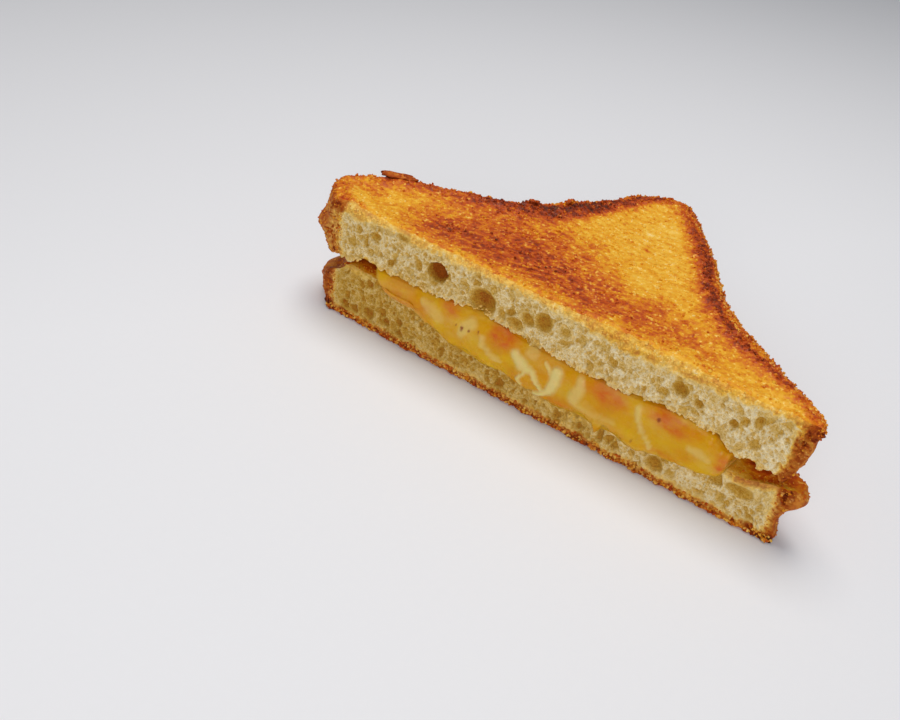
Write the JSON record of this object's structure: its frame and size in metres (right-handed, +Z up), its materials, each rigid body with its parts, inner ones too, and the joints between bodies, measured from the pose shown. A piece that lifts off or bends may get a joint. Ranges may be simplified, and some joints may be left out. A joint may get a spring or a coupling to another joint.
{
  "type": "grilled cheese sandwich half",
  "caption": "Half of a toasted cheese sandwich, cut corner to corner, lying flat: two pan-fried bread slices with melted cheese between them.",
  "frame": {"origin": "middle of the flat base, under the centre of the bounding box", "axes": "+X along the cut from its left end to its right, +Y from the cut towards the back corner of the crust, +Z up"},
  "size_m": [0.1602, 0.0886, 0.0382],
  "materials": {
    "toasted_bread": "rough",
    "melted_cheese": "soft gloss"
  },
  "bodies": {
    "root": {"lower_bread_slice": "toasted_bread", "melted_cheese": "melted_cheese", "upper_bread_slice": "toasted_bread"}
  },
  "joints": []
}
